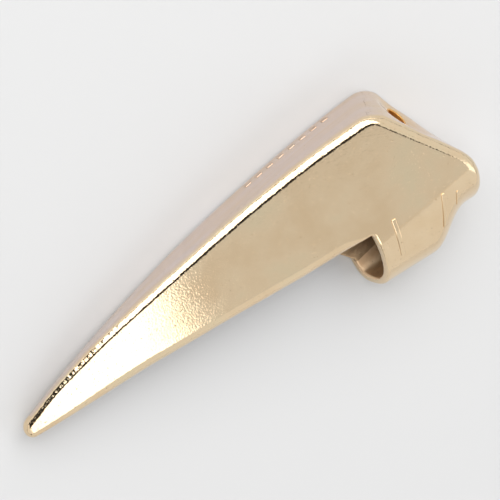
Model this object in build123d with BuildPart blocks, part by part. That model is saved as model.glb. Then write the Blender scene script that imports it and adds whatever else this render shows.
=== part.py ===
"""Hollow gilt tooth: a thin-walled pointed casting with a rolled heel under its butt end.

X runs from the point to the butt, Y towards the ridge, Z up through the near cheek.
The far cheek lies on Z = 0. Millimetres.
"""

import os
from math import cos, pi

from build123d import *

# ---- driving dimensions ------------------------------------------------------------------
wall = 1.6                      # casting wall
cheek_inset = 1.2               # the ridge and butt walls lap this far over the cheeks
deep = 30.0                     # well past the object, for cutting tools

# Side outline, seen along Z
point_x = 0.6                   # where the walls start, behind the bead at the point
ridge_start_y = 2.3
near_ridge_mid = (43.4, 14.9)
far_ridge_mid = (43.4, 13.4)
near_crest = (88.4, 19.6)       # ridge meets butt, near side
far_crest = (95.3, 19.2)        # ridge meets butt, far side
near_butt = (103.0, -0.8)       # foot of the slanted butt face, near side
far_butt = (104.1, -1.6)        # foot of the slanted butt face, far side
butt_drop_x = 1.0               # how far the butt still runs back below that foot
crest_radius = 2.6
foot_radius = 9.0

# Plan outline, seen along Y
flat_from_x = 45.0              # the cheeks are flat from here to the butt
near_flat_z = 12.4              # near cheek height there
near_slope = 0.098              # and its rise per millimetre towards the butt
point_near_z = 5.8
point_far_z = 2.2

# Open lower edges of the cheeks
lower_point_y = -1.7
lower_mid = (32.0, -1.8)
near_lower_end = (68.0, -3.2)
notch = (77.2, -2.8)            # inner corner between the near cheek and the heel
far_lower_end = (65.0, -3.2)
far_tab_front = (69.5, -4.5)    # the far cheek slopes down from here
far_tab_foot_x = 76.0           # to here, where the heel's lip starts

# Rolled heel: its seam lines, and the depth of the trough along X
seam_y = -5.3                   # near seam height at the notch
seam_rise = 0.15                # and its rise per millimetre towards the butt
lip_drop = 6.1                  # the far seam lies this far below the near one
heel_stations = (70.0, 88.0, 89.5, 91.0, 92.5, 94.5, 96.0, 97.5, 99.0, 108.0)
heel_deep_y = -17.1             # bottom of the trough behind its mouth
heel_shallow_y = -12.3          # and under the butt
heel_step_x = (88.0, 99.0)      # the bottom rises from the one to the other over this length
heel_front_near_x = 77.2        # the open front leans from here on the near side
heel_front_far_x = 74.4         # to here on the far side
lip_corner_radius = 1.8

# Ring hole in its dish on the butt face
dish_centre = (97.5, 11.85, 7.6)
dish_axis = (0.86, 0.44, 0.25)
dish_ball_radius = 15.0
dish_depth = 2.6
hole_centre = (95.85, 11.0, 5.0)
hole_axis = (0.83, 0.43, 0.36)
hole_radius = 2.5
bore_radius = 2.1               # clear hole through the boss
boss_radius = 3.4
boss_length = 2.6

# Bead at the point
bead_centre = (0.1, 0.0, 4.0)
bead_radius = 1.9

# Raised ribs on the heel and raised dashes on the ridge
front_rib = (81.6, -2.1, 8.0)   # X, upper end, length
middle_rib = (93.4, -2.4, 7.4)
rear_rib = (97.0, -1.9, 4.5)
rib_width = 0.8
rib_height = 0.35
dash_first_x = 61.5
dash_pitch = 2.9
dash_count = 8
dash_length = 1.7
dash_width = 1.3
dash_height = 0.25
dash_z = 3.4


def near_z(x):
    """Height of the near cheek's outer face over its flat part."""
    return near_flat_z + near_slope * (x - flat_from_x)


def seam(x):
    """Height of the near seam between cheek and heel."""
    return seam_y + seam_rise * (x - notch[0])


def heel_bottom(x):
    """Height of the underside of the heel."""
    start, end = heel_step_x
    along = min(max((x - start) / (end - start), 0), 1)
    return heel_deep_y + (heel_shallow_y - heel_deep_y) * (1 - cos(pi * along)) / 2


def side_outline(ridge_mid, crest, butt, inset):
    """Side outline left open downwards, drawn `inset` inside the outer one."""
    with BuildSketch(Plane.XY) as outline:
        with BuildLine():
            ridge = ThreePointArc((point_x, ridge_start_y), ridge_mid, crest)
            Polyline(crest, butt, (butt[0] + butt_drop_x, -deep), (point_x, -deep), ridge @ 0)
        make_face()
        fillet(outline.vertices().sort_by_distance((*crest, 0))[0], crest_radius)
        fillet(outline.vertices().sort_by_distance((*butt, 0))[0], foot_radius)
        if inset:
            offset(amount=-inset, kind=Kind.INTERSECTION)
    return outline.sketch.face()


def horn(side_inset, plan_inset):
    """The tapered body, left open downwards, its faces moved inwards by the two insets."""
    top = near_z(near_butt[0] + 2 * butt_drop_x)
    near_face = side_outline(near_ridge_mid, near_crest, near_butt, side_inset).moved(Location((0, 0, top)))
    far_face = side_outline(far_ridge_mid, far_crest, far_butt, side_inset)
    tail_x = near_butt[0] + deep
    with BuildPart() as body:
        loft([far_face, near_face], ruled=True)
        with BuildSketch(Plane.XZ):
            with BuildLine():
                flat_near = (flat_from_x, near_flat_z - plan_inset)
                flat_far = (flat_from_x, plan_inset)
                point_near = (0, point_near_z - plan_inset)
                point_far = (0, point_far_z + plan_inset)
                TangentArc(flat_near, point_near, tangent=(-1, -near_slope))
                Line(point_near, point_far)
                TangentArc(flat_far, point_far, tangent=(-1, 0))
                Polyline(flat_far, (tail_x, plan_inset), (tail_x, near_z(tail_x) - plan_inset), flat_near)
            make_face()
        extrude(amount=2 * deep, both=True, mode=Mode.INTERSECT)
    return body.part


def under_tool(edge_points, seam_shift):
    """Everything below a cheek: along its lower edge to its last point, then the heel's seam."""
    tail_x = near_butt[0] + deep
    seam_end = (tail_x, seam(tail_x) + seam_shift)
    with BuildPart() as tool:
        with BuildSketch(Plane.XY.offset(-deep)):
            with BuildLine():
                ThreePointArc((-deep, lower_point_y), lower_mid, edge_points[0])
                Polyline(*edge_points, seam_end)
                Polyline(seam_end, (tail_x, -2 * deep), (-deep, -2 * deep), (-deep, lower_point_y))
            make_face()
        extrude(amount=3 * deep)
    return tool.part


def heel_section(x, bottom, inset):
    """One section across the rolled heel, filled, `inset` inside its outer faces."""
    top = near_z(x) - inset
    near_y = seam(x)
    far_y = near_y - lip_drop
    roll = far_y - bottom
    with BuildSketch(Plane.YZ.offset(x)) as section:
        with BuildLine():
            EllipticalCenterArc((near_y, roll), near_y - bottom - inset, top - roll, 90, arc_size=90)
            CenterArc((far_y, roll), roll - inset, 180, 90)
            Polyline((far_y, inset), (near_y, inset), (near_y, top))
        make_face()
    return section.sketch.face()


def heel_block(inset):
    """The filled heel, `inset` inside its outer faces."""
    with BuildPart() as block:
        loft([heel_section(x, heel_bottom(x), inset) for x in heel_stations], ruled=True)
    return block.part


def crest_joint_tool():
    """Everything on the butt side of the joint between ridge wall and butt wall."""
    lean = (far_crest[0] - near_crest[0]) / near_z(near_crest[0])
    foot_x = far_crest[0] - crest_radius
    tail_x = near_butt[0] + deep
    with BuildPart() as tool:
        with BuildSketch(Plane.XZ):
            with BuildLine():
                foot = (foot_x + lean * deep, -deep)
                head = (foot_x - lean * deep, deep)
                Polyline(foot, head, (tail_x, deep), (tail_x, -deep), close=True)
            make_face()
        extrude(amount=2 * deep, both=True)
    return tool.part


def heel_front_tool():
    """Everything in front of the heel's leaning open mouth."""
    with BuildPart() as tool:
        with BuildSketch(Plane.XZ):
            with BuildLine():
                rake = (heel_front_near_x - heel_front_far_x) / near_z(heel_front_near_x)
                foot = (heel_front_far_x - rake * deep, -deep)
                head = (heel_front_far_x + rake * deep, deep)
                Polyline(foot, head, (-deep, deep), (-deep, -deep), close=True)
            make_face()
        extrude(amount=2 * deep, both=True)
    return tool.part


def far_tab_tool():
    """The strip of far wall above the lip, which belongs to the far cheek."""
    tail_x = near_butt[0] + deep
    with BuildPart() as tool:
        with BuildSketch(Plane.XY.offset(-wall)):
            with BuildLine():
                front = (heel_stations[0] - wall, seam(heel_stations[0] - wall) - lip_drop)
                back = (tail_x, seam(tail_x) - lip_drop)
                Polyline(front, back, (tail_x, deep), (front[0], deep), close=True)
            make_face()
        extrude(amount=2 * wall)
    return tool.part


def dish_ball(radius):
    """A ball centred on the middle of the ball that hollows the dish."""
    with BuildPart() as ball:
        with Locations(Plane(origin=dish_centre, z_dir=dish_axis).offset(dish_ball_radius - dish_depth)):
            Sphere(radius)
    return ball.part


def rib(x, upper_y, length):
    """A raised rib that runs down the near cheek and round the heel."""
    on_cheek = Plane(origin=(x, upper_y, near_z(x)), z_dir=(-near_slope, 0, 1))
    with BuildPart() as bar:
        add(heel_block(-rib_height))
        with Locations((x, upper_y, near_z(x))):
            Box(rib_width, length, deep, align=(Align.CENTER, Align.MAX, Align.CENTER), mode=Mode.INTERSECT)
        with Locations(on_cheek):
            upper_length = upper_y - seam(x)
            Box(rib_width, upper_length, rib_height, align=(Align.CENTER, Align.MAX, Align.MIN))
        add(body, mode=Mode.SUBTRACT)
        add(heel_outer, mode=Mode.SUBTRACT)
    return bar.part


# ---- solids that several pieces are cut from ---------------------------------------------
body = horn(0, 0)
cheek_core = horn(cheek_inset, 0)
between_cheeks = horn(0, wall)
cavity = horn(wall, wall)
heel_outer = heel_block(0)
heel_inner = heel_block(wall)
near_foot = (notch[0], seam(notch[0]))
far_foot = (far_tab_foot_x, seam(far_tab_foot_x) - lip_drop)
near_under = under_tool((near_lower_end, notch, near_foot), 0)
far_under = under_tool((far_lower_end, far_tab_front, far_foot), -lip_drop)

with BuildPart() as cheek_layers:
    add(cheek_core)
    add(between_cheeks, mode=Mode.SUBTRACT)

with BuildPart() as near_cheek:
    add(cheek_layers.solids().sort_by(Axis.Z)[-1])
    add(near_under, mode=Mode.SUBTRACT)
    add(dish_ball(dish_ball_radius), mode=Mode.SUBTRACT)

with BuildPart() as far_cheek:
    add(cheek_layers.solids().sort_by(Axis.Z)[0])
    add(far_under, mode=Mode.SUBTRACT)
    add(dish_ball(dish_ball_radius), mode=Mode.SUBTRACT)

with BuildPart() as ridge_wall:
    add(body)
    with Locations((0, lower_point_y, 0)):
        Box(8 * deep, 2 * deep, 4 * deep, align=(Align.CENTER, Align.MIN, Align.CENTER), mode=Mode.INTERSECT)
    add(crest_joint_tool(), mode=Mode.SUBTRACT)
    add(cavity, mode=Mode.SUBTRACT)
    add(cheek_layers.part, mode=Mode.SUBTRACT)

with BuildPart() as heel_trough:
    add(heel_outer)
    add(heel_inner, mode=Mode.SUBTRACT)
    add(far_tab_tool(), mode=Mode.SUBTRACT)
    add(heel_front_tool(), mode=Mode.SUBTRACT)
    add(horn(0, -2 * wall), mode=Mode.INTERSECT)
    lip_corner = (heel_front_far_x, seam(heel_front_far_x) - lip_drop, wall / 2)
    fillet(heel_trough.edges().sort_by_distance(lip_corner)[0], lip_corner_radius)

# ---- butt wall with its dish and ring hole ------------------------------------------------
hole_plane = Plane(origin=hole_centre, z_dir=hole_axis)

with BuildPart() as space_behind_dish:
    add(cavity)
    add(dish_ball(dish_ball_radius + wall), mode=Mode.SUBTRACT)

with BuildPart() as butt_end:
    add(body)
    add(crest_joint_tool(), mode=Mode.INTERSECT)
    add(space_behind_dish.part, mode=Mode.SUBTRACT)
    add(cheek_layers.part, mode=Mode.SUBTRACT)

with BuildPart() as butt_wall:
    add(butt_end.part)
    add(near_under, mode=Mode.SUBTRACT)
    add(dish_ball(dish_ball_radius), mode=Mode.SUBTRACT)
    with Locations(hole_plane):
        Cylinder(hole_radius, deep / 2, mode=Mode.SUBTRACT)

with BuildPart() as butt_foot:
    add(butt_end.part)
    add(heel_outer, mode=Mode.INTERSECT)
    add(heel_trough.part, mode=Mode.SUBTRACT)

with BuildPart() as ring_boss:
    with Locations(hole_plane):
        Cylinder(boss_radius, boss_length, align=(Align.CENTER, Align.CENTER, Align.MAX))
    add(butt_wall.part, mode=Mode.SUBTRACT)
    add(far_cheek.part, mode=Mode.SUBTRACT)
    with Locations(hole_plane):
        Cylinder(bore_radius, deep / 2, mode=Mode.SUBTRACT)

# ---- bead, ribs and dashes -----------------------------------------------------------------
with BuildPart() as point_bead:
    with Locations(bead_centre):
        Sphere(bead_radius)
    with Locations((point_x, 0, 0)):
        Box(deep, deep, deep, align=(Align.MAX, Align.CENTER, Align.CENTER), mode=Mode.INTERSECT)

with BuildPart() as heel_rib_front:
    add(rib(*front_rib))

with BuildPart() as heel_rib_middle:
    add(rib(*middle_rib))

with BuildPart() as heel_rib_rear:
    add(rib(*rear_rib))

with BuildPart() as ridge_dashes:
    with Locations([(dash_first_x + i * dash_pitch, 0, dash_z) for i in range(dash_count)]):
        Box(dash_length, deep, dash_width, align=(Align.MIN, Align.MIN, Align.CENTER))
    add(horn(-dash_height, 0), mode=Mode.INTERSECT)
    add(body, mode=Mode.SUBTRACT)

# ---- origin moved to the middle of the rest face, and one file per piece ---------------------
overall = Compound(
    [
        near_cheek.part,
        far_cheek.part,
        ridge_wall.part,
        butt_wall.part,
        butt_foot.part,
        heel_trough.part,
        ring_boss.part,
        point_bead.part,
        heel_rib_front.part,
        heel_rib_middle.part,
        heel_rib_rear.part,
        ridge_dashes.part,
    ]
).bounding_box()
home = Location((-overall.center().X, -overall.center().Y, 0))

os.makedirs("parts", exist_ok=True)
near_cheek.part.label = "near_cheek"
far_cheek.part.label = "far_cheek"
ridge_wall.part.label = "ridge_wall"
butt_wall.part.label = "butt_wall"
butt_foot.part.label = "butt_foot"
heel_trough.part.label = "heel_trough"
ring_boss.part.label = "ring_boss"
point_bead.part.label = "point_bead"
heel_rib_front.part.label = "heel_rib_front"
heel_rib_middle.part.label = "heel_rib_middle"
heel_rib_rear.part.label = "heel_rib_rear"
ridge_dashes.part.label = "ridge_dashes"

export_step(near_cheek.part.moved(home), "parts/near_cheek.step")
export_step(far_cheek.part.moved(home), "parts/far_cheek.step")
export_step(ridge_wall.part.moved(home), "parts/ridge_wall.step")
export_step(butt_wall.part.moved(home), "parts/butt_wall.step")
export_step(butt_foot.part.moved(home), "parts/butt_foot.step")
export_step(heel_trough.part.moved(home), "parts/heel_trough.step")
export_step(ring_boss.part.moved(home), "parts/ring_boss.step")
export_step(point_bead.part.moved(home), "parts/point_bead.step")
export_step(heel_rib_front.part.moved(home), "parts/heel_rib_front.step")
export_step(heel_rib_middle.part.moved(home), "parts/heel_rib_middle.step")
export_step(heel_rib_rear.part.moved(home), "parts/heel_rib_rear.step")
export_step(ridge_dashes.part.moved(home), "parts/ridge_dashes.step")
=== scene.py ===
"""Looks of the hollow gilt tooth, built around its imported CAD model.

Shapes are worked out in millimetres in the drawing frame (X from the point to the butt, Y towards
the ridge, Z up through the near cheek) and moved onto the CAD model's frame when a mesh is made.
"""

import bpy
import numpy as np
from mathutils import Matrix, Vector


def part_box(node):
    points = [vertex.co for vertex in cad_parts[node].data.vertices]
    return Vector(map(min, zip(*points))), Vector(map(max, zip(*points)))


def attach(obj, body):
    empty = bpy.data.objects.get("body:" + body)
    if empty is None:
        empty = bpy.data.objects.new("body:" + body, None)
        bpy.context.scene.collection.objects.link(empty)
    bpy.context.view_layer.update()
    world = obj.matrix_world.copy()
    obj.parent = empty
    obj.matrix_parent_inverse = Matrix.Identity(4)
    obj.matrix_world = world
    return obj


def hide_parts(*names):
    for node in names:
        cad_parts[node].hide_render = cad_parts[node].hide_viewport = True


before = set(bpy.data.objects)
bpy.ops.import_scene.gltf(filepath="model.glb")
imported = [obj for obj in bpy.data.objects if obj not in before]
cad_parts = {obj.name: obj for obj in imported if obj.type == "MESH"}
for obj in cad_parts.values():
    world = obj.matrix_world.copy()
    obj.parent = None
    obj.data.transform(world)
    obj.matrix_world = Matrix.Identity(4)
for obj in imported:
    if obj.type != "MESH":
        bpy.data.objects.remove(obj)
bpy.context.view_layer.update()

MM = 0.001
STEP = 0.25      # grid of the casting's meshes
FINE = 0.1       # grid of the small pieces
LAP = 0.03                              # neighbouring pieces overlap this far, so that no hairline shows
DEEP_INSIDE = -99.0                     # the value of a shape that sets no limit

# ---- driving dimensions, in drawing millimetres --------------------------------------------
WALL = 1.6
BEAD_X, BEAD_Y, BEAD_RADIUS = 0.1, 0.0, 1.9
POINT_X = 0.6                           # where the walls start, behind the bead
TIP_X, TIP_RADIUS = -1.75, 1.65
EDGE_RADIUS, CREST_RADIUS, HEEL_CORNER_RADIUS = 2.1, 3.2, 1.5

# cheeks: flat from FLAT_FROM_X to the butt, drawn together towards the point
FLAT_FROM_X = 45.0
NEAR_FLAT_Z, NEAR_SLOPE = 12.4, 0.098
POINT_NEAR_Z, POINT_FAR_Z = 5.8, 2.2
NEAR_EDGE = ((0, 26, 44, 61, 71, 77.2), (-1.7, -1.6, -2.2, -3.1, -3.3, -2.7))     # X and Y along it
FAR_EDGE = ((0, 26, 44, 61, 69, 74.2), (-1.7, -1.6, -2.2, -3.1, -4.2, -10.6))
OPEN_EDGE_RADIUS = 0.5
NEAR_EDGE_RADIUS = (1.2, 2.3)           # added to it on the near cheek, at the point and further back

# ridge: a bent line, higher along the near cheek than along the far one
RIDGE_START_Y, RIDGE_RISE, RIDGE_SAG, RIDGE_BEND_X = 2.25, 0.271, 0.001765, 43.4
NEAR_LEAN, CREST_DIP, NOSE_DIP = 1.0, 0.2, 0.6      # near edge above the bent line, and what the ends lose
NOSE_SWELL, NOSE_SWELL_X = 0.9, 16      # highest at this X, and gone about as far again behind it
FAR_LEAN = (-0.75, -0.55)               # towards the point and further back
RIDGE_SQUARE = 0.975                    # turns a gap measured along Y into one square to the ridge

# butt: slants back from the crest, then drops as the foot
CREST_Y, BUTT_NEAR_Z = 19.2, 17.5
NEAR_CREST_X, NEAR_SLANT = 88.4, 0.75
FAR_CREST_X, FAR_SLANT = 95.0, 0.423
FAR_FOOT_X, NEAR_FOOT_X, FOOT_TOP_Y, FOOT_SLANT = 103.6, 102.9, -4, 0.12
FOOT_BLEND = 1.6
BUTT_SQUARE = 0.86                      # turns a gap measured along X into one square to the butt

# heel: sweeps in under the near cheek and rolls up to its lip at the far one
NOTCH_X = 77.2
SEAM_Y, SEAM_RISE, LIP_DROP = -5.3, 0.15, 6.1
SWEEP_START = 2.6                       # the sweep leaves the near cheek at a slight angle
LIP_POWER = 3.2                         # the roll at the far side is a little squarer than a circle
HEEL_FROM_X = 60                        # in front of this there is no heel
HEEL_DEEP_Y, HEEL_SHALLOW_Y = -17.1, -12.3
HEEL_STEP_X = (88.0, 99.0)
HEEL_FRONT_NEAR_X, HEEL_FRONT_FAR_X, HEEL_FRONT_NEAR_Z = 77.2, 74.4, 16
TAB_TOP_Z, TAB_FOOT_Y, TAB_BACK_X = 6, -10.0, 76.4     # the far cheek's tab, which runs down to the lip
LIP_SIDE_Z = (3, 8)                     # the lip's side is below the first, the sweep's above the second
LIP_THICKENING = 0.7

# dish in the butt, and the ring hole in the dish
DISH_RIM = np.array((97.5, 11.85, 7.6))
DISH_AXIS = np.array((0.86, 0.44, 0.25))
DISH_BALL, DISH_DEPTH = 15.0, 2.6
HOLE = np.array((95.85, 11.0, 5.0))
HOLE_AXIS = np.array((0.83, 0.43, 0.36))
HOLE_RADIUS, BORE_RADIUS, BOSS_RADIUS, BOSS_LENGTH = 2.4, 2.1, 3.2, 2.6

# cast unevenness of the edge between ridge and near cheek
WOBBLE, WOBBLE_SPREAD = 0.022, 2.2

# the drawing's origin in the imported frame, found from the bead
bead_low, bead_high = (np.array(v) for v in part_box("point_bead"))
SHIFT = np.array((BEAD_X - BEAD_RADIUS - bead_low[0] / MM, BEAD_Y - (bead_low[1] + bead_high[1]) / 2 / MM, 0))


def to_frame(points):
    """Drawing millimetres to the model's metres."""
    return (np.asarray(points, float) - SHIFT) * MM


# ---- small formulas ------------------------------------------------------------------------
def lerp(a, b, t):
    return a + (b - a) * t


def ease(a, b, x):
    """0 before a, 1 after b, and a smooth change between them."""
    t = np.clip((x - a) / (b - a), 0, 1)
    return t * t * (3 - 2 * t)


def soft_min(a, b, r):
    return (a + b - np.sqrt((a - b) ** 2 + r * r)) / 2


def cut(a, b, r):
    """Common part of two shapes, its edge rounded to radius r."""
    return np.minimum(-r, np.maximum(a, b)) + np.hypot(np.maximum(a + r, 0), np.maximum(b + r, 0))


# ---- outlines of the tooth -----------------------------------------------------------------
def near_z(x):
    sag = (POINT_NEAR_Z - NEAR_FLAT_Z + NEAR_SLOPE * FLAT_FROM_X) / FLAT_FROM_X**2
    return NEAR_FLAT_Z + NEAR_SLOPE * (x - FLAT_FROM_X) + sag * np.minimum(x - FLAT_FROM_X, 0) ** 2


def far_z(x):
    return POINT_FAR_Z * (np.minimum(x - FLAT_FROM_X, 0) / FLAT_FROM_X) ** 2


def ridge_y(x, z):
    along = x - POINT_X
    swell = NOSE_SWELL * np.exp(-((x - NOSE_SWELL_X) / NOSE_SWELL_X) ** 2)
    near_lean = NEAR_LEAN + swell - CREST_DIP * ease(70, 92, x) - NOSE_DIP * ease(9, -1, x)
    far_lean = lerp(*FAR_LEAN, ease(20, 45, x)) * ease(-3, 5, x) * (1 - ease(60, 90, x))
    lean = lerp(far_lean, near_lean, z / near_z(x))
    return RIDGE_START_Y + RIDGE_RISE * along - RIDGE_SAG * along * (x - RIDGE_BEND_X) + lean


def butt_x(y, z):
    to_near = z / BUTT_NEAR_Z
    near = NEAR_CREST_X + NEAR_SLANT * (CREST_Y - y)
    far = FAR_CREST_X + FAR_SLANT * (CREST_Y - y)
    foot = lerp(FAR_FOOT_X, NEAR_FOOT_X, to_near) + FOOT_SLANT * np.minimum(y - FOOT_TOP_Y, 0)
    return soft_min(lerp(far, near, to_near), foot, FOOT_BLEND)


def seam_y(x):
    return SEAM_Y + SEAM_RISE * (x - NOTCH_X)


def heel_bottom_y(x):
    start, end = HEEL_STEP_X
    along = np.clip((x - start) / (end - start), 0, 1)
    return lerp(HEEL_DEEP_Y, HEEL_SHALLOW_Y, (1 - np.cos(np.pi * along)) / 2)


# ---- shapes: each gives a distance in mm, negative inside ----------------------------------
def ridge_face(x, y, z):
    return (y - ridge_y(x, z)) * RIDGE_SQUARE


def butt_face(x, y, z):
    return (x - butt_x(y, z)) * BUTT_SQUARE


def dish_ball(x, y, z):
    centre = DISH_RIM + (DISH_BALL - DISH_DEPTH) * DISH_AXIS
    return np.sqrt((x - centre[0]) ** 2 + (y - centre[1]) ** 2 + (z - centre[2]) ** 2) - DISH_BALL


def about_hole(x, y, z):
    """Distance from the ring hole's axis, and height along it."""
    px, py, pz = x - HOLE[0], y - HOLE[1], z - HOLE[2]
    along = px * HOLE_AXIS[0] + py * HOLE_AXIS[1] + pz * HOLE_AXIS[2]
    return np.sqrt(np.maximum(px**2 + py**2 + pz**2 - along**2, 0)), along


def heel_profile(x, y, z, inset):
    """The rolled underside: an ellipse sweeps in from the near cheek, then a tight roll meets the far one."""
    bottom = heel_bottom_y(x)
    start_y = seam_y(x) + SWEEP_START
    lip_y = seam_y(x) - LIP_DROP
    roll = lip_y - bottom

    down = np.maximum(start_y - y, 0)
    a = start_y - bottom - inset
    b = (near_z(x) - roll) / np.sqrt(1 - (SWEEP_START / (start_y - bottom)) ** 2) - inset
    k = np.sqrt((down / a) ** 2 + ((z - roll) / b) ** 2) + 1e-6
    slope = np.sqrt((down / a**2) ** 2 + ((z - roll) / b**2) ** 2) + 1e-6
    sweep = k * (k - 1) / slope

    below, beyond = np.maximum(lip_y - y, 0), np.maximum(roll - z, 0)
    lip = (below**LIP_POWER + beyond**LIP_POWER) ** (1 / LIP_POWER) - roll + inset
    return np.where(z > roll, sweep, lip)


def side_walls(x, y, z, inset, heel_inset):
    """Between the cheeks, and above the heel where there is one."""
    cheeks = np.maximum(z - near_z(x), far_z(x) - z) + inset
    return np.maximum(cheeks, np.where(x > HEEL_FROM_X, heel_profile(x, y, z, heel_inset), DEEP_INSIDE))


def wobble(x, y, z):
    """Slight unevenness of a polished casting."""
    return (np.sin(1.9 * x + 1.3 * np.sin(0.8 * z)) * np.sin(2.3 * z + 0.7 * x)
            + 0.6 * np.sin(4.1 * x + 0.9 * y + 2.0 * np.sin(1.1 * x)))


def outer(x, y, z):
    """The tooth as a solid."""
    ridge = ridge_face(x, y, z)
    ends = cut(cut(ridge, butt_face(x, y, z), CREST_RADIUS), TIP_X - x, TIP_RADIUS)
    corner = lerp(EDGE_RADIUS, HEEL_CORNER_RADIUS, ease(-2, -8, y))
    shape = cut(ends, side_walls(x, y, z, 0, 0), lerp(TIP_RADIUS - 0.1, corner, ease(2, 16, x)))
    shape = cut(shape, -dish_ball(x, y, z), 0.7)
    edge = np.exp(-((z - near_z(x)) ** 2 + ridge**2) / WOBBLE_SPREAD)
    return shape + WOBBLE * edge * wobble(x, y, z)


def cavity(x, y, z):
    """The hollow inside it; the roll by the lip is left thicker than the other walls."""
    thicker = LIP_THICKENING * (1 - ease(*LIP_SIDE_Z, z)) * ease(-9, -12, y)
    shape = cut(ridge_face(x, y, z) + WALL, butt_face(x, y, z) + WALL, 1.0)
    shape = cut(shape, side_walls(x, y, z, WALL, WALL + thicker), 0.8)
    shape = cut(shape, POINT_X + WALL - x, 0.5)
    return cut(shape, -dish_ball(x, y, z) + WALL, 0.5)


def below_edges(x, y, z):
    """The space in front of the heel and under the cheeks' open edges."""
    edge = np.where(z > near_z(x) / 2, np.interp(x, *NEAR_EDGE), np.interp(x, *FAR_EDGE))
    front = lerp(HEEL_FRONT_FAR_X, HEEL_FRONT_NEAR_X, z / HEEL_FRONT_NEAR_Z)
    by_tab = (z <= TAB_TOP_Z) & (y > TAB_FOOT_Y)
    return cut(y - edge, x - np.where(by_tab, TAB_BACK_X, front), 0.9)


def casting(x, y, z):
    """The hollow tooth, its ring hole cut a little deeper than the boss is long."""
    near_half = ease(0.4, 0.65, z / near_z(x)) * (1 - ease(70, NOTCH_X - 0.2, x))
    edge_radius = OPEN_EDGE_RADIUS + near_half * lerp(*NEAR_EDGE_RADIUS, ease(0, 25, x))
    body = cut(outer(x, y, z), -below_edges(x, y, z), edge_radius)
    shell = cut(body, -cavity(x, y, z), 0.3)
    radial, along = about_hole(x, y, z)
    return cut(shell, np.minimum(HOLE_RADIUS - radial, along + 1.5 * BOSS_LENGTH), 0.2)


# ---- meshes from the shapes ----------------------------------------------------------------
def crossed(values):
    """Cells of a grid that the surface values == 0 passes through."""
    nx, ny, nz = (n - 1 for n in values.shape)
    corners = [values[i:nx + i, j:ny + j, k:nz + k] for i in (0, 1) for j in (0, 1) for k in (0, 1)]
    return (np.minimum.reduce(corners) < 0) & (np.maximum.reduce(corners) >= 0)


def net(values, low, step):
    """Surface net of a grid: points, quads, and which of the grid's cells hold a point."""
    inside = values < 0
    cells = tuple(n - 1 for n in values.shape)
    total = np.zeros(cells + (3,))
    count = np.zeros(cells)
    edges = []
    for axis in range(3):
        first, second = [slice(None)] * 3, [slice(None)] * 3
        first[axis], second[axis] = slice(0, -1), slice(1, None)
        a, b = values[tuple(first)], values[tuple(second)]
        crosses = inside[tuple(first)] != inside[tuple(second)]
        part = np.where(crosses, a / np.where(crosses, a - b, 1), 0)
        edges.append((crosses, inside[tuple(first)]))
        u, v = [i for i in range(3) if i != axis]
        for du in (0, 1):
            for dv in (0, 1):
                take = [slice(None)] * 3
                take[u], take[v] = slice(du, du + cells[u]), slice(dv, dv + cells[v])
                hit = crosses[tuple(take)]
                total[..., axis] += part[tuple(take)]
                total[..., u] += hit * du
                total[..., v] += hit * dv
                count += hit
    used = count > 0
    index = np.full(cells, -1)
    index[used] = np.arange(used.sum())
    points = (np.argwhere(used) + total[used] / count[used][:, None]) * step + low
    quads = []
    for axis, (crosses, first_inside) in enumerate(edges):
        u, v = [i for i in range(3) if i != axis]
        take = [slice(None)] * 3
        take[u], take[v] = slice(1, cells[u]), slice(1, cells[v])
        where = np.argwhere(crosses[tuple(take)])
        where[:, u] += 1
        where[:, v] += 1
        ring = []
        for du, dv in ((-1, -1), (0, -1), (0, 0), (-1, 0)):
            cell = where.copy()
            cell[:, u] += du
            cell[:, v] += dv
            ring.append(index[tuple(cell.T)])
        quad = np.stack(ring, 1)
        outward = first_inside[tuple(where.T)] != (axis == 1)
        quads.append(np.where(outward[:, None], quad, quad[:, ::-1]))
    return points, np.concatenate(quads), used


def gradient(shape, points, reach=0.02):
    x, y, z = points.T
    return np.stack([shape(x + reach, y, z) - shape(x - reach, y, z),
                     shape(x, y + reach, z) - shape(x, y - reach, z),
                     shape(x, y, z + reach) - shape(x, y, z - reach)], 1) / (2 * reach)


def settle(points, shape, chosen, step):
    """Moves the chosen points onto the surface shape == 0, by less than half a step at a time."""
    at = points[chosen]
    slope = gradient(shape, at)
    move = -shape(*at.T)[:, None] * slope / np.maximum((slope**2).sum(1), 0.05)[:, None]
    size = np.linalg.norm(move, axis=1, keepdims=True)
    points[chosen] = at + move * np.minimum(1, 0.4 * step / np.maximum(size, 1e-9))


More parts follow.
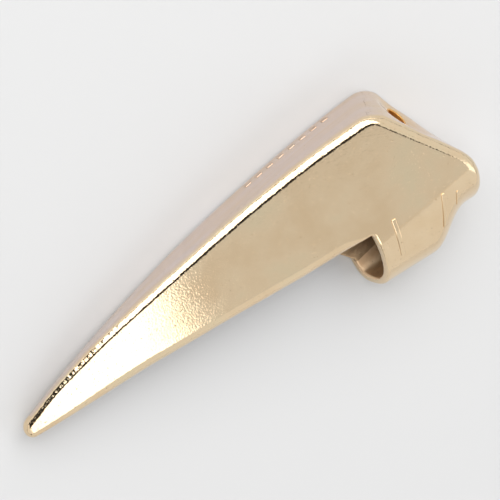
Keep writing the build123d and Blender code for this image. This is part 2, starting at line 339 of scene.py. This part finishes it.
def piece(name, shape, zone, low, high, step, stands_for, material, inner_material=None):
    """One closed mesh: the part of shape that lies inside zone, looked for between low and high."""
    def lapped_zone(x, y, z):
        return zone(x, y, z) - LAP

    axes = [np.arange(a, b + step, step) for a, b in zip(low, high)]
    grid = axes[0][:, None, None], axes[1][None, :, None], axes[2][None, None, :]
    body = np.broadcast_to(shape(*grid), tuple(map(len, axes)))
    limit = np.broadcast_to(lapped_zone(*grid), body.shape)
    points, quads, used = net(np.maximum(body, limit), np.array(low, float), step)
    on_skin, on_joint = crossed(body)[used], crossed(limit)[used]
    for _ in range(4):
        if on_joint.any():
            settle(points, lapped_zone, on_joint, step)
        settle(points, shape, on_skin, step)

    mesh = bpy.data.meshes.new(name)
    mesh.from_pydata(to_frame(points).tolist(), [], quads.tolist())
    skin_face = on_skin[quads].all(1) | ~on_joint[quads].any(1)
    mesh.polygons.foreach_set("use_smooth", skin_face)
    normals = gradient(shape, points)
    normals /= np.maximum(np.linalg.norm(normals, axis=1, keepdims=True), 1e-9)
    corner_normals = normals[quads] * skin_face[:, None, None]      # zero leaves a joint face flat
    mesh.normals_split_custom_set(corner_normals.reshape(-1, 3).tolist())
    thing = bpy.data.objects.new(name, mesh)
    bpy.context.scene.collection.objects.link(thing)
    mesh.materials.append(material)
    # inside faces take the inner material: painted shade inside the hollow, painted light inside the heel
    if inner_material:
        mesh.materials.append(inner_material)
        deep_inside = outer(*points.T) < -0.75 * WALL
        mesh.polygons.foreach_set("material_index", deep_inside[quads].all(1).astype(int))
    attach(thing, "root")
    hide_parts(*stands_for)


# ---- materials -----------------------------------------------------------------------------
WHITE, BLACK = (1, 1, 1), (0, 0, 0)
SPECK = (0.45, 0.36, 0.28)
WORN = (1.0, 0.96, 0.9)
GOLD, GOLD_DEEP = (0.80, 0.63, 0.42), (0.76, 0.58, 0.37)
LILAC_PAINTED_REFLECTION = ((0.74, 0.585, 0.45), (0.74, 0.63, 0.59))      # the warm and the cool end of the painted lilac reflection on the ridge and butt
GREENER = (0.95, 1.02, 1.04)
RIPPLE_STRENGTH = (0.1, 0.1, 0.1)                      # as a grey, because a ramp gives colours


def plated(name, light, deep, rough, painted_reflection_colours=None):
    """Polished plating over a cast surface: cloudy colour, pin specks, orange peel and worn rims; given
    painted_reflection_colours, also a painted lilac reflection on upright faces.
    """
    material = bpy.data.materials.new(name)
    material.use_nodes = True
    nodes, links = material.node_tree.nodes, material.node_tree.links
    shader = nodes["Principled BSDF"]
    shader.inputs["Metallic"].default_value = 1.0
    place = nodes.new("ShaderNodeTexCoord")

    def feed(socket, value):
        """Sets a socket to a number, or links another node's output to it."""
        if isinstance(value, (int, float)):
            socket.default_value = value
        else:
            links.new(value, socket)

    def noise(scale, detail, roughness=0.5, stretch=(1, 1, 1)):
        squeeze = nodes.new("ShaderNodeMapping")
        squeeze.inputs["Scale"].default_value = stretch
        links.new(place.outputs["Object"], squeeze.inputs["Vector"])
        node = nodes.new("ShaderNodeTexNoise")
        node.inputs["Scale"].default_value = scale
        node.inputs["Detail"].default_value = detail
        node.inputs["Roughness"].default_value = roughness
        links.new(squeeze.outputs["Vector"], node.inputs["Vector"])
        return node.outputs["Fac"]

    def ramp(value, *stops):
        node = nodes.new("ShaderNodeValToRGB")
        while len(node.color_ramp.elements) < len(stops):
            node.color_ramp.elements.new(0.5)
        for element, (where, colour) in zip(node.color_ramp.elements, stops):
            element.position = where
            element.color = (*colour, 1)
        links.new(value, node.inputs["Fac"])
        return node.outputs["Color"]

    def mix(how, factor, a, b):
        node = nodes.new("ShaderNodeMix")
        node.data_type = "RGBA"
        node.blend_type = how
        feed(node.inputs["Factor"], factor)
        links.new(a, node.inputs["A"])
        links.new(b, node.inputs["B"])
        return node.outputs["Result"]

    def bump(strength, distance, height, under=None):
        node = nodes.new("ShaderNodeBump")
        node.inputs["Distance"].default_value = distance
        feed(node.inputs["Strength"], strength)
        links.new(height, node.inputs["Height"])
        if under is not None:
            links.new(under, node.inputs["Normal"])
        return node.outputs["Normal"]

    geometry = nodes.new("ShaderNodeNewGeometry")
    split = nodes.new("ShaderNodeSeparateXYZ")
    links.new(geometry.outputs["Normal"], split.inputs[0])

    green = tuple(c * k for c, k in zip(light, GREENER))
    cloud = ramp(noise(90, 3), (0.32, deep), (0.5, light), (0.72, green))
    specks = ramp(noise(2200, 2, 0.6), (0.28, SPECK), (0.32, WHITE))
    worn = ramp(geometry.outputs["Pointiness"], (0.5, WHITE), (0.62, WORN))
    colour = mix("MULTIPLY", 0.6, mix("MULTIPLY", 0.7, cloud, specks), worn)
    # painted reflection: faces that stand upright take a streaky lilac colour in place of the surroundings
    # they would reflect
    if painted_reflection_colours:
        warm, cool = painted_reflection_colours
        painted_reflection_mask = ramp(split.outputs["Z"], (0.08, WHITE), (0.5, BLACK))
        tint = ramp(noise(60, 3, 0.6, stretch=(0.35, 6, 6)), (0.32, warm), (0.66, cool))
        colour = mix("MIX", painted_reflection_mask, colour, tint)
    links.new(colour, shader.inputs["Base Color"])

    spread = nodes.new("ShaderNodeMapRange")
    spread.inputs["To Min"].default_value = rough
    spread.inputs["To Max"].default_value = rough + 0.08
    links.new(noise(400, 4), spread.inputs["Value"])
    links.new(spread.outputs["Result"], shader.inputs["Roughness"])

    # faces that lean towards the ridge, such as the rounded edges, stay a little uneven from polishing
    uneven = ramp(split.outputs["Y"],
                  (0.03, BLACK), (0.16, RIPPLE_STRENGTH), (0.8, RIPPLE_STRENGTH), (0.92, BLACK))
    peel = bump(0.10, 0.0002, noise(2400, 2))
    ripple = bump(uneven, 0.0006, noise(1300, 2), under=peel)
    pits = bump(0.3, 0.0002, specks, under=ripple)
    links.new(pits, shader.inputs["Normal"])
    return material


gold = plated("gold_plating", GOLD, GOLD_DEEP, 0.05)
# ridge, butt and heel end: the plating with a painted lilac reflection on their upright faces
ridge_gold_painted_reflection = plated("gold_plating_ridge_painted_reflection", GOLD, GOLD_DEEP, 0.06, LILAC_PAINTED_REFLECTION)
# painted shade: the inside of the hollow is a darker copy of the plating, standing in for the shade there
inner_gold = plated("gold_plating_inside_painted_shade", (0.50, 0.345, 0.205), (0.40, 0.27, 0.16), 0.38)
# painted light: the heel's inside, the lip's leaf, is a lighter, rougher copy of the plating, standing in for
# the light that reaches it
heel_inside_painted_light_gold = plated("gold_plating_heel_inside_painted_light", (0.88, 0.64, 0.41), (0.78, 0.54, 0.33), 0.5)
dash_gold = plated("gold_plating_dashes", (0.66, 0.50, 0.38), (0.60, 0.44, 0.32), 0.2)
hole_gold = plated("gold_plating_hole", (0.90, 0.52, 0.16), (0.70, 0.36, 0.08), 0.3)

# ---- the casting, piece by piece -----------------------------------------------------------
JOINT = 1.3                             # how deep the ridge and butt pieces reach
BEAD_JOINT_X = POINT_X + 0.2
HEEL_PIECE_X = 70                       # the heel piece lies behind this


def point_zone(x, y, z):
    return x - BEAD_JOINT_X + 0 * y + 0 * z


def heel_zone(x, y, z):
    return np.maximum(y - seam_y(x) + LIP_DROP * (1 - ease(*LIP_SIDE_Z, z)), HEEL_PIECE_X - x)


def foot_zone(x, y, z):
    return np.maximum(-butt_face(x, y, z) - WALL, heel_profile(x, y, z, WALL))


def butt_zone(x, y, z):
    return -butt_face(x, y, z) - JOINT


def ridge_zone(x, y, z):
    return -ridge_face(x, y, z) - JOINT


def near_zone(x, y, z):
    return (near_z(x) + far_z(x)) / 2 - z + 0 * y


def all_of(*zones):
    def zone(x, y, z):
        total = zones[0](x, y, z)
        for other in zones[1:]:
            total = np.maximum(total, other(x, y, z))
        return total
    return zone


def outside(zone):
    return lambda x, y, z: -zone(x, y, z)


shell_zone = all_of(outside(point_zone), outside(heel_zone))
cheek_zone = all_of(shell_zone, outside(butt_zone), outside(ridge_zone))

# name, zone, the box it is looked for in, CAD node, slot, outer and inner material
CASTING = (
    ("point_bead_skin", point_zone, (-2.3, -2.6, 1.6), (2.0, 4, 6.6),
     "point_bead", "gold_point", gold, None),
    ("ridge_skin", all_of(ridge_zone, outside(butt_zone), shell_zone), (0, -0.5, -0.6), (100, 20.5, 18.6),
     "ridge_wall", "gold_ridge", ridge_gold_painted_reflection, inner_gold),
    ("butt_skin", all_of(butt_zone, shell_zone), (84, -9, -0.6), (107.5, 20.5, 18.8),
     "butt_wall", "gold_butt", ridge_gold_painted_reflection, inner_gold),
    ("near_cheek_skin", all_of(near_zone, cheek_zone), (0, -7.5, 2.5), (105, 20, 18.8),
     "near_cheek", "gold_cheek", gold, inner_gold),
    ("far_cheek_skin", all_of(outside(near_zone), cheek_zone), (0, -14, -0.6), (107, 20, 10),
     "far_cheek", "gold_cheek", gold, inner_gold),
    ("heel_skin", all_of(heel_zone, outside(foot_zone)), (70, -18, -0.6), (107.5, 1, 18.8),
     "heel_trough", "gold_heel", gold, heel_inside_painted_light_gold),
    ("heel_end_skin", all_of(heel_zone, foot_zone), (95, -16, -0.6), (107.5, 1, 18.8),
     "butt_foot", "gold_butt", ridge_gold_painted_reflection, inner_gold),
)
for name, zone, low, high, node, slot, material, inner_material in CASTING:
    piece(name, casting, zone, low, high, STEP, [node], material, inner_material)


# ---- boss, ribs and dashes -----------------------------------------------------------------
def boss(x, y, z):
    radial, along = about_hole(x, y, z)
    tube = cut(np.maximum(radial - BOSS_RADIUS, BORE_RADIUS - radial), -along - BOSS_LENGTH, 0.2)
    return cut(tube, 0.06 - dish_ball(x, y, z), 0.05)


def everywhere(x, y, z):
    return DEEP_INSIDE + 0 * x + 0 * y + 0 * z


BOSS_REACH = 5.5                        # half the box that the boss is looked for in
piece("ring_boss_skin", boss, everywhere, HOLE - BOSS_REACH, HOLE + BOSS_REACH, FINE,
      ["ring_boss"], hole_gold)

# CAD node, X and Y of the upper end, length, lean, half width, height
RIBS = (("heel_rib_front", 81.9, -2.1, 8.6, 0.13, 0.52, 0.25),
        ("heel_rib_middle", 93.2, -3.2, 7.6, 0.26, 0.38, 0.22),
        ("heel_rib_rear", 96.3, -4.8, 3.2, 0.20, 0.30, 0.14))
RIB_ROOT = 0.35                         # how far the ribs reach into the heel
RIB_LOWEST_Z = 8


def rib(x_top, y_top, length, lean, half_width, height):
    def shape(x, y, z):
        skin = outer(x, y, z)
        bar = np.abs(x - x_top - lean * (y - y_top)) - half_width
        ends = np.maximum(y - y_top, y_top - length - y)
        return np.maximum(cut(cut(skin - height, bar, 0.8 * height), ends, 0.8 * height), -skin - RIB_ROOT)
    return shape


def rib_zone(x, y, z):
    return RIB_LOWEST_Z - z + 0 * x + 0 * y


for node, x_top, y_top, length, *others in RIBS:
    piece(node + "_skin", rib(x_top, y_top, length, *others), rib_zone,
          (x_top - 3.6, y_top - length - 0.6, RIB_LOWEST_Z - 1), (x_top + 1.2, y_top + 0.6, 18.8), FINE,
          [node], gold)

DASH_FIRST_X, DASH_PITCH, DASH_COUNT, DASH_Z = 61.5, 2.9, 8, 3.4
DASH_LENGTH, DASH_WIDTH, DASH_HEIGHT, DASH_ROOT = 1.7, 1.3, 0.09, 0.3


def dashes(x, y, z):
    skin = outer(x, y, z)
    at = (x - DASH_FIRST_X) % DASH_PITCH - DASH_LENGTH / 2
    ends = np.abs(at) - DASH_LENGTH / 2
    sides = np.abs(z - DASH_Z) - DASH_WIDTH / 2
    return np.maximum(cut(cut(ends, sides, 0.3), skin - DASH_HEIGHT, 0.08), -skin - DASH_ROOT)


def dash_zone(x, y, z):
    end = DASH_FIRST_X + DASH_PITCH * DASH_COUNT - (DASH_PITCH - DASH_LENGTH) / 2
    return np.maximum(x - end, DASH_FIRST_X - 0.5 - x) + 0 * y + 0 * z


piece("ridge_dashes_skin", dashes, dash_zone, (60, 14, 2.2), (86, 20, 4.6), FINE,
      ["ridge_dashes"], dash_gold)

# ---- camera, light and floor ---------------------------------------------------------------
VIEW = Vector((-0.2003, 0.40, 0.8944)).normalized()      # from the object to the camera
TARGET, ROLL = (48.0, 0.0, 7.0), np.radians(34.8)
AIM_RIGHT, AIM_UP = 3.08, 9.09          # millimetres from the target to the middle of the frame
DISTANCE = 0.5
along_x = (Vector((1, 0, 0)) - VIEW * VIEW.x).normalized()
along_y = VIEW.cross(along_x)
right = along_x * np.cos(ROLL) - along_y * np.sin(ROLL)
up = along_x * np.sin(ROLL) + along_y * np.cos(ROLL)
camera_data = bpy.data.cameras.new("camera")
camera_data.lens = 180
camera_data.sensor_width = 36
camera = bpy.data.objects.new("camera", camera_data)
aim = Vector(to_frame(TARGET)) + (right * AIM_RIGHT + up * AIM_UP) * MM
turn = Matrix((right, up, VIEW)).transposed().to_4x4()
camera.matrix_world = Matrix.Translation(aim + VIEW * DISTANCE) @ turn
bpy.context.scene.collection.objects.link(camera)
bpy.context.scene.camera = camera


def softbox(name, angles, distance, width, radiance, azimuth=0, x=0.0):
    """A rectangular light between two angles, counted from straight up towards +Y turned by azimuth."""
    middle, half = np.radians(sum(angles) / 2), np.radians(abs(angles[1] - angles[0]) / 2)
    depth = 2 * distance * np.tan(half)
    data = bpy.data.lights.new(name, "AREA")
    data.shape = "RECTANGLE"
    data.size, data.size_y = width, depth
    data.energy = radiance * np.pi * width * depth
    light = bpy.data.objects.new(name, data)
    turned = Matrix.Rotation(np.radians(azimuth), 4, "Z")
    place = Matrix.Translation((x, distance * np.sin(middle), distance * np.cos(middle)))
    light.matrix_world = turned @ place @ Matrix.Rotation(-middle, 4, "X")
    bpy.context.scene.collection.objects.link(light)


softbox("front_softbox", (-17, -38), 0.62, 1.4, 0.72)
softbox("low_front_softbox", (-38, -90), 0.70, 1.6, 0.85)
softbox("back_softbox", (9, 69), 0.80, 1.1, 3.0, x=0.15)
softbox("low_back_softbox", (74, 92), 0.80, 2.0, 1.1)
softbox("butt_side_softbox", (22, 88), 0.90, 1.9, 0.85, azimuth=-90)
softbox("point_side_softbox", (50, 88), 0.90, 1.1, 0.9, azimuth=90)
softbox("point_softbox", (-14, -36), 0.55, 0.40, 1.8, x=-0.245)

world = bpy.data.worlds.new("studio")
world.use_nodes = True
world.node_tree.nodes["Background"].inputs["Color"].default_value = (1, 1, 1, 1)
world.node_tree.nodes["Background"].inputs["Strength"].default_value = 0.04
bpy.context.scene.world = world
bpy.context.scene.view_settings.view_transform = "Standard"

FLOOR_REACH, FLOOR_DROP = 2.0, 0.00005  # metres from the middle to an edge, and down from the object
floor_corners = [(x * FLOOR_REACH, y * FLOOR_REACH, 0) for x, y in ((-1, -1), (1, -1), (1, 1), (-1, 1))]
floor_mesh = bpy.data.meshes.new("floor")
floor_mesh.from_pydata(floor_corners, [], [(0, 1, 2, 3)])
floor = bpy.data.objects.new("floor", floor_mesh)
floor.location.z = -FLOOR_DROP
bpy.context.scene.collection.objects.link(floor)
paper = bpy.data.materials.new("paper")
paper.use_nodes = True
paper.node_tree.nodes["Principled BSDF"].inputs["Base Color"].default_value = (0.58, 0.58, 0.58, 1)
paper.node_tree.nodes["Principled BSDF"].inputs["Roughness"].default_value = 0.9
floor_mesh.materials.append(paper)
